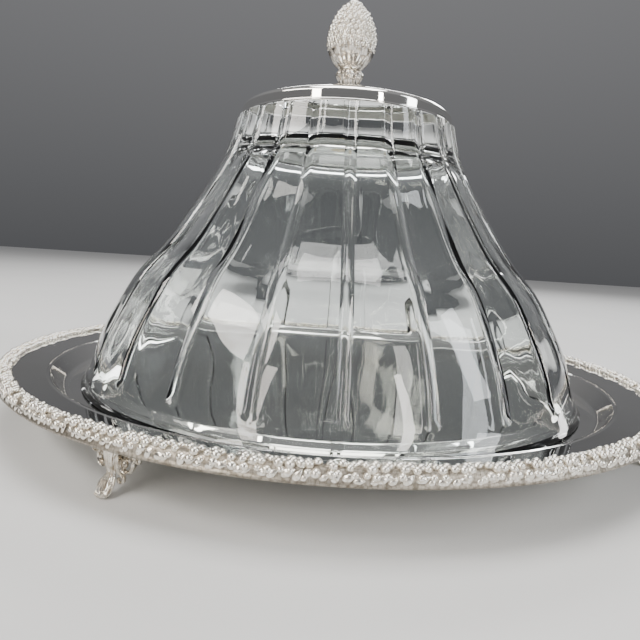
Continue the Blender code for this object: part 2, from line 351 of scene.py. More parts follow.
class Graph:
    """A short way to add and join shader nodes."""

    def __init__(self, tree: bpy.types.NodeTree) -> None:
        """Keep the tree that nodes go into."""
        self.tree = tree

    def node(self, kind: str, inputs: dict | None = None, **settings: object) -> bpy.types.Node:
        """Add a node.

        Args:
            kind: the node's type name without its ShaderNode prefix.
            inputs: socket name or number to a value or an output socket.
            settings: properties of the node.

        Returns:
            The new node.
        """
        made = self.tree.nodes.new("ShaderNode" + kind)
        for key, value in settings.items():
            setattr(made, key, value)
        self.feed(made, inputs or {})
        return made

    def feed(self, node: bpy.types.Node, inputs: dict) -> None:
        """Link each output socket to the node's input of that name, and set each number there."""
        for key, value in inputs.items():
            if isinstance(value, bpy.types.NodeSocket):
                self.tree.links.new(value, node.inputs[key])
            else:
                node.inputs[key].default_value = value

    def ramp(self, value: bpy.types.NodeSocket, low: float, high: float, to_low: float,
             to_high: float) -> bpy.types.NodeSocket:
        """Return the value stretched from low..high to to_low..to_high and clamped there."""
        made = self.node("MapRange", {0: value, 1: low, 2: high, 3: to_low, 4: to_high})
        return made.outputs[0]

    def mix(self, share: bpy.types.NodeSocket, first: tuple, second: tuple) -> bpy.types.NodeSocket:
        """Return the colour that goes from first to second as share goes from 0 to 1."""
        made = self.node("Mix", {0: share, 6: (*first, 1.0), 7: (*second, 1.0)}, data_type="RGBA")
        return made.outputs[2]

    def math(self, operation: str, first: object, second: object) -> bpy.types.NodeSocket:
        """Return one step of arithmetic on two values or sockets."""
        return self.node("Math", {0: first, 1: second}, operation=operation).outputs[0]


def new_group(name: str, inputs: dict, outputs: dict) -> tuple[bpy.types.NodeTree, Graph]:
    """Start a shader node group.

    Args:
        name: the group's name.
        inputs: input name to its default number.
        outputs: output name to its socket type.

    Returns:
        The group, and a graph to fill it with.
    """
    tree = bpy.data.node_groups.new(name, "ShaderNodeTree")
    for key, value in inputs.items():
        socket = tree.interface.new_socket(key, in_out="INPUT", socket_type="NodeSocketFloat")
        socket.default_value = value
    for key, kind in outputs.items():
        tree.interface.new_socket(key, in_out="OUTPUT", socket_type=kind)
    return tree, Graph(tree)


def build_wear_group() -> bpy.types.NodeTree:
    """Build the group of marks that handled metal and glass carry.

    Smudges are two sizes of soft noise multiplied together. Scratches are thin bands where a
    stretched noise crosses its middle value. Tarnish gathers where a coarse noise is low.
    """
    tree, graph = new_group("handling_marks", {"Scale": 60.0, "Seed": 0.0},
                            {"Smudge": "NodeSocketFloat", "Scratch": "NodeSocketFloat",
                             "Tarnish": "NodeSocketFloat"})
    given = tree.nodes.new("NodeGroupInput")
    result = tree.nodes.new("NodeGroupOutput")
    place = graph.node("TexCoord").outputs["Object"]
    moved = graph.node("Mapping", {"Vector": place})
    shift = graph.node("CombineXYZ", {0: given.outputs["Seed"], 1: given.outputs["Seed"]})
    graph.feed(moved, {"Location": shift.outputs[0]})
    spot = moved.outputs[0]
    soft = graph.node("TexNoise", {"Vector": spot, "Scale": given.outputs["Scale"], "Detail": 3.0})
    wide_scale = graph.math("MULTIPLY", given.outputs["Scale"], 0.3)
    wide = graph.node("TexNoise", {"Vector": spot, "Scale": wide_scale, "Detail": 2.0})
    both = graph.math("MULTIPLY", soft.outputs["Fac"], wide.outputs["Fac"])
    smudge = graph.ramp(both, 0.22, 0.42, 0.0, 1.0)
    stretched = graph.node("Mapping", {"Vector": spot, "Scale": (1.0, 9.0, 3.0),
                                       "Rotation": (0.3, 0.2, 0.7)})
    thread_scale = graph.math("MULTIPLY", given.outputs["Scale"], 2.5)
    threads = graph.node("TexNoise", {"Vector": stretched.outputs[0], "Scale": thread_scale,
                                      "Detail": 5.0, "Distortion": 0.4})
    from_middle = graph.math("ABSOLUTE", graph.math("SUBTRACT", threads.outputs["Fac"], 0.5), 0.0)
    scratch = graph.ramp(from_middle, 0.0, 0.006, 1.0, 0.0)
    tarnish = graph.ramp(wide.outputs["Fac"], 0.58, 0.30, 0.0, 1.0)
    graph.feed(result, {"Smudge": smudge, "Scratch": scratch, "Tarnish": tarnish})
    return tree


def build_engraving_group() -> bpy.types.NodeTree:
    """Build the group of chased lines and pits that cast silver carries.

    Lines are a distorted band wave; pits are the gaps of a cell pattern. Recess is the share of
    each, used to darken what polishing cloths don't reach.
    """
    tree, graph = new_group("chased_relief", {"Scale": 900.0, "Lines": 0.5},
                            {"Height": "NodeSocketFloat", "Recess": "NodeSocketFloat"})
    given = tree.nodes.new("NodeGroupInput")
    result = tree.nodes.new("NodeGroupOutput")
    place = graph.node("TexCoord").outputs["Object"]
    bands = graph.node("TexWave", {"Vector": place, "Scale": given.outputs["Scale"],
                                   "Distortion": 6.0, "Detail": 2.0, "Detail Scale": 1.5})
    cells = graph.node("TexVoronoi", {"Vector": place, "Scale": given.outputs["Scale"]},
                       feature="F1")
    line = graph.math("MULTIPLY", bands.outputs["Fac"], given.outputs["Lines"])
    pit = graph.ramp(cells.outputs["Distance"], 0.2, 0.8, 1.0, 0.0)
    height = graph.math("ADD", line, graph.math("MULTIPLY", pit, 0.6))
    recess = graph.ramp(height, 0.15, 0.75, 1.0, 0.0)
    graph.feed(result, {"Height": height, "Recess": recess})
    return tree


@dataclass(frozen=True)
class SilverFinish:
    """Silver plate: mirror polish, with faint smudges, hairlines and a little tarnish."""

    name: str
    bright: tuple
    dull: tuple
    roughness: float
    smudge_roughness: float
    relief: float = 0.0
    relief_scale: float = 900.0
    hairline: float = 0.15
    mark_scale: float = 60.0

    def build(self, wear: bpy.types.NodeTree, chasing: bpy.types.NodeTree) -> bpy.types.Material:
        """Make the material.

        Args:
            wear: the handling marks group.
            chasing: the chased relief group, used where relief is above 0.

        Returns:
            The finished material.
        """
        material, graph, shader = start_material(self.name)
        marks = graph.node("Group", node_tree=wear)
        graph.feed(marks, {"Scale": self.mark_scale})
        share = graph.math("MULTIPLY", marks.outputs["Tarnish"], 0.55)
        hairs = graph.math("MULTIPLY", marks.outputs["Scratch"], self.hairline)
        smudged = graph.ramp(marks.outputs["Smudge"], 0.0, 1.0, self.roughness, self.smudge_roughness)
        height = hairs
        if self.relief > 0.0:
            relief = graph.node("Group", node_tree=chasing)
            graph.feed(relief, {"Scale": self.relief_scale})
            share = graph.math("MAXIMUM", share, relief.outputs["Recess"])
            height = relief.outputs["Height"]
            smudged = graph.math("ADD", smudged, graph.math("MULTIPLY", relief.outputs["Recess"], 0.16))
        colour = graph.mix(share, self.bright, self.dull)
        bump = graph.node("Bump", {"Height": height, "Distance": 0.1 * MM,
                                   "Strength": max(0.04, self.relief)})
        scratched = graph.math("ADD", smudged, graph.math("MULTIPLY", hairs, 0.3))
        graph.feed(shader, {"Base Color": colour, "Roughness": scratched, "Normal": bump.outputs[0],
                            "Metallic": 1.0})
        return material


@dataclass(frozen=True)
class GlassFinish:
    """Clear pressed glass: very slight green, faint ripples and finger marks."""

    name: str
    tint: tuple
    deep_tint: tuple
    index: float = 1.5

    def build(self, wear: bpy.types.NodeTree) -> bpy.types.Material:
        """Make the material from the handling marks group and return it."""
        material, graph, shader = start_material(self.name)
        marks = graph.node("Group", node_tree=wear)
        graph.feed(marks, {"Scale": 45.0, "Seed": 3.1})
        place = graph.node("TexCoord").outputs["Object"]
        ripples = graph.node("TexNoise", {"Vector": place, "Scale": 38.0, "Detail": 1.0})
        bump = graph.node("Bump", {"Height": ripples.outputs["Fac"], "Distance": 0.4 * MM,
                                   "Strength": 0.06})
        colour = graph.mix(marks.outputs["Tarnish"], self.tint, self.deep_tint)
        smudged = graph.ramp(marks.outputs["Smudge"], 0.0, 1.0, 0.0, 0.025)
        graph.feed(shader, {"Base Color": colour, "Roughness": smudged, "Normal": bump.outputs[0],
                            "Metallic": 0.0, "Transmission Weight": 1.0, "IOR": self.index})
        return material


@dataclass(frozen=True)
class PlainFinish:
    """A hidden piece's finish: speckled colour, uneven gloss and a fine grain."""

    name: str
    first: tuple
    second: tuple
    low_roughness: float
    high_roughness: float
    grain_scale: float
    metallic: float = 0.0
    grain_depth: float = 0.1

    def build(self) -> bpy.types.Material:
        """Make the material and return it."""
        material, graph, shader = start_material(self.name)
        place = graph.node("TexCoord").outputs["Object"]
        grain = graph.node("TexNoise", {"Vector": place, "Scale": self.grain_scale, "Detail": 6.0})
        fine = graph.node("TexNoise", {"Vector": place, "Scale": self.grain_scale * 6.0})
        share = graph.ramp(grain.outputs["Fac"], 0.35, 0.65, 0.0, 1.0)
        bump = graph.node("Bump", {"Height": fine.outputs["Fac"], "Distance": self.grain_depth * MM,
                                   "Strength": 0.5})
        colour = graph.mix(share, self.first, self.second)
        gloss = graph.ramp(share, 0.0, 1.0, self.low_roughness, self.high_roughness)
        graph.feed(shader, {"Base Color": colour, "Roughness": gloss, "Normal": bump.outputs[0],
                            "Metallic": self.metallic})
        return material


def start_material(name: str) -> tuple[bpy.types.Material, Graph, bpy.types.Node]:
    """Return a new material, a graph of its tree and its Principled BSDF."""
    material = bpy.data.materials.new(name)
    material.use_nodes = True
    return material, Graph(material.node_tree), material.node_tree.nodes["Principled BSDF"]


@dataclass
class Palette:
    """Every material of the object, by what it is on."""

    polished: bpy.types.Material
    cast: bpy.types.Material
    berry: bpy.types.Material
    # painted shade: a darkened silver for the moulding, standing in for the shade between and below the
    # berries, with some real oxide
    ground: bpy.types.Material
    glass: bpy.types.Material
    brass: bpy.types.Material
    cement: bpy.types.Material
    gasket: bpy.types.Material

    @classmethod
    def build(cls) -> "Palette":
        """Make all materials and return them."""
        wear, chasing = build_wear_group(), build_engraving_group()
        return cls(
            polished=SilverFinish("polished_silver_plate", (0.93, 0.92, 0.89), (0.80, 0.77, 0.70),
                                  0.025, 0.07).build(wear, chasing),
            cast=SilverFinish("chased_cast_silver", (0.95, 0.92, 0.86), (0.40, 0.33, 0.24),
                              0.14, 0.26, relief=0.35, relief_scale=650.0).build(wear, chasing),
            berry=SilverFinish("bright_cast_silver", (0.97, 0.95, 0.90), (0.70, 0.63, 0.52),
                               0.15, 0.28, relief=0.03, relief_scale=1400.0).build(wear, chasing),
            # Painted shade: the whole moulding, skirt included, takes this dark silver so the gaps
            # between the berries read as shade; its recess colour is partly oxide, partly painted shade.
            ground=SilverFinish("shadowed_silver_ground", (0.47, 0.43, 0.37), (0.13, 0.11, 0.08),
                                0.30, 0.45, relief=0.30, relief_scale=900.0).build(wear, chasing),
            glass=GlassFinish("pressed_glass", (0.965, 0.99, 0.982), (0.95, 0.98, 0.965)).build(wear),
            brass=PlainFinish("turned_brass", (0.78, 0.60, 0.30), (0.62, 0.46, 0.20), 0.25, 0.42,
                              500.0, metallic=1.0, grain_depth=0.03).build(),
            cement=PlainFinish("setting_cement", (0.82, 0.80, 0.74), (0.66, 0.63, 0.56), 0.8, 0.95,
                               350.0, grain_depth=0.2).build(),
            gasket=PlainFinish("soft_gasket", (0.88, 0.89, 0.87), (0.80, 0.81, 0.78), 0.45, 0.6,
                               250.0, grain_depth=0.04).build(),
        )


def settle(piece: bpy.types.Object, body: Body, slot: Slot, *nodes: str) -> bpy.types.Object:
    """Tie a finished piece to its body and hide the CAD nodes that it stands for.

    Args:
        piece: the finished object.
        body: what it moves with.
        slot: not used.
        nodes: CAD nodes that it replaces.

    Returns:
        The piece.
    """
    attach(piece, body.value)
    if nodes:
        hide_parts(*nodes)
    LOG.info("%s: %d faces on %s", piece.name, len(piece.data.polygons), body.value)
    return piece


# ---------------------------------------------------------------------------------------------
# Tray
# ---------------------------------------------------------------------------------------------

@dataclass
class Tray:
    """Spun silver dish with a mirror rim, a well and a raised centre."""

    palette: Palette
    well_edge: float = 145.0 * MM
    well_edge_height: float = 21.5 * MM
    well_depth: float = 8.0 * MM
    floor_radius: float = 139.0 * MM
    plateau: float = 117.0 * MM
    plateau_rise: float = 2.5 * MM
    sheet: float = 1.4 * MM
    rim_rise: float = 3.8 * MM
    steps: int = 288

    def rim_height(self, radius: np.ndarray) -> np.ndarray:
        """Return the rim's height: a straight climb from the well's edge to the rim's own edge."""
        share = (np.asarray(radius) - self.well_edge) / (self.rim_radius - self.well_edge)
        return self.well_edge_height + self.rim_rise * share

    @property
    def rim_radius(self) -> float:
        """Radius of the sheet's edge, from the frame."""
        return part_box("tray_dish")[1].x

    def outline(self) -> np.ndarray:
        """Return the dish's section, as (radius, height) pairs from the centre out and back."""
        floor = self.well_edge_height - self.well_depth
        top = floor + self.plateau_rise
        rim, high = self.rim_radius, float(self.rim_height(self.rim_radius))
        edge, height = self.well_edge, self.well_edge_height
        rows = [
            (2.0 * MM, top - self.sheet, 0.0),
            (self.plateau - 1.5 * MM, top - self.sheet, 0.5 * MM),
            (self.plateau + 2.0 * MM, floor - self.sheet, 0.6 * MM),
            (self.floor_radius, floor - self.sheet, 0.8 * MM),
            (edge + 1.0 * MM, height - self.sheet, 0.8 * MM),
            (rim, high - self.sheet, 0.3 * MM),
            (rim, high, 0.3 * MM),
            (edge + 1.5 * MM, float(self.rim_height(edge + 1.5 * MM)), 0.2 * MM),
            (edge + 0.7 * MM, height + 0.55 * MM, 0.35 * MM),
            (edge - 0.2 * MM, height + 0.2 * MM, 0.3 * MM),
            (self.floor_radius, floor, 1.6 * MM),
            (self.plateau + 2.2 * MM, floor, 0.9 * MM),
            (self.plateau + 0.5 * MM, top + 0.05 * MM, 0.3 * MM),
            (self.plateau - 0.3 * MM, top + 0.4 * MM, 0.3 * MM),
            (self.plateau - 1.2 * MM, top, 0.2 * MM),
            (2.0 * MM, top, 0.0),
        ]
        return round_corners(rows, 6)

    def build(self) -> None:
        """Make the dish."""
        grid = revolve(self.outline(), self.steps)
        dish = Surface.empty().add_grid(grid, cap_ends=True).finish("tray_mirror", self.palette.polished)
        settle(dish, Body.TRAY, Slot.POLISHED, "tray_dish")


@dataclass
class Border:
    """Cast border: a moulding with a skirt, covered with berries and leaves."""

    palette: Palette
    tray: Tray
    berry_pitch: float = 3.35 * MM
    berry_size: float = 1.42 * MM
    bare_share: float = 0.16
    leaves: int = 300
    sprigs: int = 150
    width: float = 7.2 * MM
    steps: int = 360
    # one row of berries each: how far in from the outer edge, how far below the top, tilt in degrees
    rows: tuple = ((5.7, 2.25, 140.0), (3.9, 1.55, 105.0), (2.2, 1.75, 70.0), (1.55, 3.7, 25.0))

    def measure(self) -> tuple[float, float, float, float]:
        """Return the border's inner and outer radius and its lowest and highest point."""
        low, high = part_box("tray_border")
        return high.x - self.width, high.x, low.z, high.z

    def moulding(self) -> np.ndarray:
        """Return the backing moulding's section, kept lower than the berries that stand on it."""
        inner, outer, bottom, top = self.measure()
        skirt = self.tray.rim_radius + GAP
        seat = float(self.tray.rim_height(inner)) + GAP
        rows = [
            (skirt, float(self.tray.rim_height(self.tray.rim_radius)) + GAP, 0.0),
            (skirt, bottom + 0.3 * MM, 0.1 * MM),
            (skirt + 0.6 * MM, bottom, 0.2 * MM),
            (outer - 0.9 * MM, bottom + 0.2 * MM, 0.5 * MM),
            (outer - 0.35 * MM, bottom + 1.0 * MM, 0.6 * MM),
            (outer - 0.95 * MM, bottom + 2.0 * MM, 0.3 * MM),
            (outer - 1.0 * MM, top - 4.4 * MM, 1.0 * MM),
            (outer - 1.9 * MM, top - 2.4 * MM, 0.7 * MM),
            (outer - 3.4 * MM, top - 1.9 * MM, 0.8 * MM),
            (inner + 1.4 * MM, top - 2.5 * MM, 0.6 * MM),
            (inner + 0.6 * MM, seat, 0.1 * MM),
        ]
        return round_corners(rows, 6)

    def berries(self, surface: Surface) -> None:
        """Scatter the berries: four wandering rows over the moulding's crown.

        Each row has its own radius and height. A berry's bearing, place, size and tilt are shaken
        by seeded random numbers, and its long axis lies nearly along the border.
        """
        rng = np.random.default_rng(SEED)
        _, outer, _, top = self.measure()
        for number, (inward, below, tilt) in enumerate(self.rows):
            radius = outer - inward * MM
            count = int(TURN * radius / self.berry_pitch)
            stagger = 0.5 * (number % 2) + rng.uniform(-0.26, 0.26, count)
            bearing = (np.arange(count) + stagger) * TURN / count
            angle = np.radians(tilt) + rng.uniform(-0.2, 0.2, count)
            size = (self.berry_size * rng.uniform(0.76, 1.10, count))[:, None]
            out = bearing_vector(bearing)
            along = np.cross(UP, out)
            normal = out * np.cos(angle)[:, None] + UP * np.sin(angle)[:, None]
            across = np.cross(normal, along)
            centre = out * (radius + rng.uniform(-0.35, 0.35, count) * MM)[:, None]
            centre = centre + UP * (top - below * MM + rng.uniform(-0.35, 0.15, count) * MM)[:, None]
            swing = rng.uniform(-0.75, 0.75, count)[:, None]
            long_axis = along * np.cos(swing) + across * np.sin(swing)
            short_axis = np.cross(normal, long_axis)
            stretch = rng.uniform(1.0, 1.2, count)[:, None]
            axes = np.stack([short_axis * size, normal * size, long_axis * size * stretch], axis=1)
            kept = rng.uniform(size=count) > self.bare_share
            place_balls(surface, centre[kept], axes[kept], 6, 9)

    def scatter(self, surface: Surface, leaf: np.ndarray, centre: np.ndarray, axes: np.ndarray) -> None:
        """Add one closed leaf many times: each of its points is multiplied by its copy's three axes.

        Args:
            surface: what to add the leaves to.
            leaf: the leaf's grid.
            centre: the copies' roots, of shape (copies, 3).
            axes: length, side and normal of each copy, of shape (copies, 3, 3).
        """
        shape = Surface.empty().add_grid(leaf, cap_ends=True)
        placed = np.einsum("pk,ckd->cpd", np.vstack(shape.points), axes) + centre[:, None, :]
        surface.add_copies(placed, shape.quads[0], np.vstack(shape.triangles))

    def skirt_leaves(self, surface: Surface) -> None:
        """Lay small leaves over the skirt's shoulder, each with its own length, height and lean."""
        rng = np.random.default_rng(SEED + 1)
        _, outer, bottom, _ = self.measure()
        bearing = np.arange(self.leaves) * TURN / self.leaves + rng.uniform(-0.008, 0.008, self.leaves)
        lean = rng.uniform(0.1, 1.0, self.leaves)
        size = rng.uniform(0.75, 1.1, self.leaves)[:, None, None]
        out = bearing_vector(bearing)
        length_axis = np.cross(UP, out) * np.cos(lean)[:, None] + UP * np.sin(lean)[:, None]
        normal = out * 0.96 + UP * 0.28
        axes = np.stack([length_axis, np.cross(normal, length_axis), normal], axis=1) * size
        height = bottom + rng.uniform(2.3, 3.3, self.leaves)[:, None] * MM
        centre = out * (outer - 1.05 * MM) + UP * height - length_axis * 2.3 * MM
        self.scatter(surface, leaf_grid(4.6 * MM, 1.05 * MM, 0.5 * MM, 0.4 * MM), centre, axes)

    def inner_sprigs(self, surface: Surface) -> None:
        """Lay small leaves that peep out between the berries on the inner side."""
        rng = np.random.default_rng(SEED + 2)
        inner, _, _, top = self.measure()
        bearing = rng.uniform(0.0, TURN, self.sprigs)
        lean = rng.uniform(-1.1, 1.1, self.sprigs)[:, None]
        out = bearing_vector(bearing)
        normal = -out * 0.35 + UP * 0.94
        length_axis = (-out * 0.94 - UP * 0.35) * np.cos(lean) + np.cross(UP, out) * np.sin(lean)
        axes = np.stack([length_axis, np.cross(normal, length_axis), normal], axis=1)
        centre = out * (inner + 2.9 * MM) + UP * (top - 1.6 * MM)
        leaf = leaf_grid(3.6 * MM, 1.0 * MM, 0.4 * MM, 0.3 * MM, rows=7, columns=8)
        self.scatter(surface, leaf, centre, axes)

    def build(self) -> None:
        """Make the moulding, the berries and the leaves."""
        backing = Surface.empty().add_grid(revolve(self.moulding(), self.steps), close_rows=True)
        # the moulding takes the darkened ground silver: painted shade between and below the berries, on
        # top of some oxide
        moulding = backing.finish("border_moulding", self.palette.ground)
        settle(moulding, Body.TRAY, Slot.CAST, "tray_border")
        fruit = Surface.empty()
        self.berries(fruit)
        settle(fruit.finish("border_berries", self.palette.berry, 80.0), Body.TRAY, Slot.CAST)
        foliage = Surface.empty()
        self.skirt_leaves(foliage)
        self.inner_sprigs(foliage)
        settle(foliage.finish("border_leaves", self.palette.berry, 60.0), Body.TRAY, Slot.CAST)


# ---------------------------------------------------------------------------------------------
# Feet
# ---------------------------------------------------------------------------------------------

@dataclass
class Foot:
    """Cast scroll foot: a ridged leg with a bulging knee and a kicked toe, between volutes.

    It is worked out with +X out from the tray and +Y along its edge, then turned to its bearing.
    """

    palette: Palette
    tray: Tray
    node: str
    bearing: float
    wing_plane: float = 152.3 * MM
    spiral_shrink: float = 0.84
    OUT: ClassVar[np.ndarray] = np.array([1.0, 0.0, 0.0])
    # volute, hanging lobe and curl: eye along the edge, eye height, radius, band's half thickness at
    # its start and at its eye, how far the eye stands out (mm), first angle (degrees), turns, points
    SCROLLS: ClassVar[tuple] = (
        (5.0, 10.9, 3.6, 0.68, 0.46, 1.5, 80.0, -1.4, 96),
        (2.5, 5.1, 1.8, 0.55, 0.38, 1.1, 100.0, -1.1, 54),
        (10.1, 13.6, 1.4, 0.48, 0.32, 0.8, 200.0, 1.2, 44),
    )
    # the bands that feed the scrolls, and the tendril: knots of (reach, along, height), half
    # thickness at the start and at the end (mm), ridges
    BANDS: ClassVar[tuple] = (
        (((153.9, 2.0, 20.6), (153.6, 3.0, 17.6), (153.2, 4.2, 15.3), (152.7, 5.63, 14.45)),
         1.5, 0.68, 6),
        (((153.9, 1.6, 18.6), (153.7, 1.5, 14.0), (153.5, 1.4, 10.0), (153.0, 1.7, 7.5),
          (152.7, 2.19, 6.87)), 1.5, 0.55, 6),
        (((153.4, 3.4, 19.6), (153.0, 6.0, 17.0), (152.6, 8.0, 14.6), (152.5, 8.78, 13.12)),
         1.2, 0.48, 6),
        (((152.4, 9.4, 15.2), (152.0, 11.8, 16.0), (151.6, 14.8, 17.6), (151.4, 18.0, 18.8)),
         1.5, 0.6, 4),
    )
    # leaflets on the tendril: along, height (mm), swing (radians), length (mm)
    LEAFLETS: ClassVar[tuple] = (
        (9.6, 16.6, -0.95, 2.8),
        (11.6, 17.0, -0.70, 3.4),
        (13.2, 17.6, -0.40, 4.0),
    )

    def leg(self, surface: Surface) -> None:
        """Sweep the leg down a smooth path, with sections that swell at the knee and the toe."""
        stations = np.array([
            (153.2, 22.4, 2.9, 1.8),
            (154.2, 18.6, 2.8, 1.8),
            (155.3, 15.2, 2.5, 1.75),
            (155.5, 12.0, 1.9, 1.45),
            (154.9, 8.9, 1.6, 1.25),
            (155.1, 6.7, 1.8, 1.3),
            (156.0, 4.3, 2.3, 1.5),
            (157.4, 2.2, 2.7, 1.5),
            (159.0, 1.25, 2.5, 1.1),
            (160.5, 2.3, 1.3, 0.8),
        ]) * MM
        line = smooth_through(stations, 8)
        path = np.stack([line[:, 0], np.zeros(len(line)), line[:, 1]], axis=1)
        along = np.array([0.0, 1.0, 0.0])
        grid = sweep(path, line[:, 2], line[:, 3], along, columns=66, ridges=11, ridge_depth=0.075)
        surface.add_grid(grid, cap_ends=True)

    def toe_leaf(self, surface: Surface) -> None:
        """Lay an acanthus leaf over the toe: a centre blade and two shorter ones spread beside it."""
        for swing, length, wide in ((0.0, 6.4, 1.3), (0.30, 5.2, 1.0), (-0.30, 5.2, 1.0)):
            leaf = leaf_grid(length * MM, wide * MM, 0.5 * MM, 0.6 * MM, rows=13, columns=12)
            share = leaf[..., 0] / (length * MM)
            reach = 155.6 * MM + (4.6 * MM * share + leaf[..., 2] * 0.8) * math.cos(swing)
            fall = 8.4 * MM - 5.4 * MM * share ** 0.8 + leaf[..., 2] * 0.6
            side = leaf[..., 1] + 4.6 * MM * share * math.sin(swing)
            grid = np.stack([reach, side, np.maximum(fall, 0.1 * MM)], axis=-1)
            surface.add_grid(grid, cap_ends=True)

    def scroll(self, surface: Surface, row: tuple, side: float) -> None:
        """Wind one scroll: a spiral whose radius shrinks evenly with its turn.

        Args:
            surface: what to add it to.
            row: one row of the scrolls' table.
            side: 1 or -1, the half of the foot that it is on.
        """
        along, height, radius, first, last, proud = (value * MM for value in row[:6])
        start, turns, points = row[6:]
        turn = np.linspace(math.radians(start), math.radians(start) + turns * TURN, points)
        share = np.linspace(0.0, 1.0, points)
        reach = radius * (1.0 - self.spiral_shrink * share)
        path = np.stack([self.wing_plane + (0.4 * MM + proud * share),
                         side * (along + reach * np.cos(turn)), height + reach * np.sin(turn)], axis=1)
        band = first + (last - first) * share
        surface.add_grid(sweep(path, band * 1.6, band, self.OUT, 20, 5, 0.09), cap_ends=True)

    def band(self, surface: Surface, row: tuple, side: float) -> None:
        """Run one ridged band smoothly through its knots.

        Args:
            surface: what to add it to.
            row: one row of the bands' table.
            side: 1 or -1, the half of the foot that it is on.
        """
        knots, start, end, ridges = row
        path = smooth_through(np.array(knots) * MM, 9)
        path[:, 1] *= side
        wide = np.linspace(start, end, len(path)) * MM
        surface.add_grid(sweep(path, wide * 1.25, wide, self.OUT, 24, ridges, 0.10), cap_ends=True)

    def leaflet(self, surface: Surface, row: tuple, side: float) -> None:
        """Lay one leaflet on the tendril, turned in the scrolls' plane.

        Args:
            surface: what to add it to.
            row: one row of the leaflets' table.
            side: 1 or -1, the half of the foot that it is on.
        """
        along, height, swing, length = row
        leaf = leaf_grid(length * MM, 1.25 * MM, 0.6 * MM, 0.9 * MM)
        cos, sin = math.cos(swing), math.sin(swing)
        turned = np.stack([self.wing_plane + 0.6 * MM + leaf[..., 2],
                           side * (along * MM + leaf[..., 0] * cos - leaf[..., 1] * sin),
                           height * MM + leaf[..., 0] * sin + leaf[..., 1] * cos], axis=-1)
        surface.add_grid(turned[:, ::-1] if side < 0 else turned, cap_ends=True)

    def half(self, surface: Surface, side: float) -> None:
        """Make one side's scrolls, bands and leaflets."""
        for add, table in ((self.scroll, self.SCROLLS), (self.band, self.BANDS),
                           (self.leaflet, self.LEAFLETS)):
            for row in table:
                add(surface, row, side)

    def plate(self, surface: Surface) -> None:
        """Close the back of the scrolls with a thin scalloped web that joins them to the leg."""
        points = 41
        along = np.linspace(-1.0, 1.0, points)
        shoulder = (21.3 - 3.0 * along ** 2) * MM
        lower = (8.4 + 8.8 * np.abs(along) ** 1.5 + 0.5 * np.cos(along * 15.0)) * MM
        bottom = np.minimum(lower, shoulder - 0.4 * MM)
        half = 0.6 * MM
        ring = [(-half, shoulder), (half, shoulder), (half, bottom), (-half, bottom)]
        wide = 13.0 * MM * along
        grid = np.stack([np.stack([np.full(points, self.wing_plane - 0.4 * MM + x), wide, height],
                                  axis=1) for x, height in ring], axis=1)
        surface.add_grid(grid, cap_ends=True)

    def between_table_and_rim(self, points: np.ndarray) -> np.ndarray:
        """Return the points with their heights held between the table and the rim's underside."""
        ceiling = self.tray.rim_height(points[:, 0]) - self.tray.sheet - 0.05 * MM
        return np.column_stack([points[:, :2], np.clip(points[:, 2], 0.0, ceiling)])

    def build(self) -> None:
        """Make the foot and turn it to its bearing."""
        surface = Surface.empty()
        self.leg(surface)
        self.toe_leaf(surface)
        self.plate(surface)
        for side in (1.0, -1.0):
            self.half(surface, side)
        turn = math.radians(self.bearing - 90.0)
        cos, sin = math.cos(turn), math.sin(turn)
        spin = np.array([[cos, sin, 0.0], [-sin, cos, 0.0], [0.0, 0.0, 1.0]])
        surface.points = [self.between_table_and_rim(part) @ spin for part in surface.points]
        foot = surface.finish(self.node + "_scrolls", self.palette.cast, 55.0)
        settle(foot, Body.TRAY, Slot.CAST, self.node)


# ---------------------------------------------------------------------------------------------
# Dome
# ---------------------------------------------------------------------------------------------

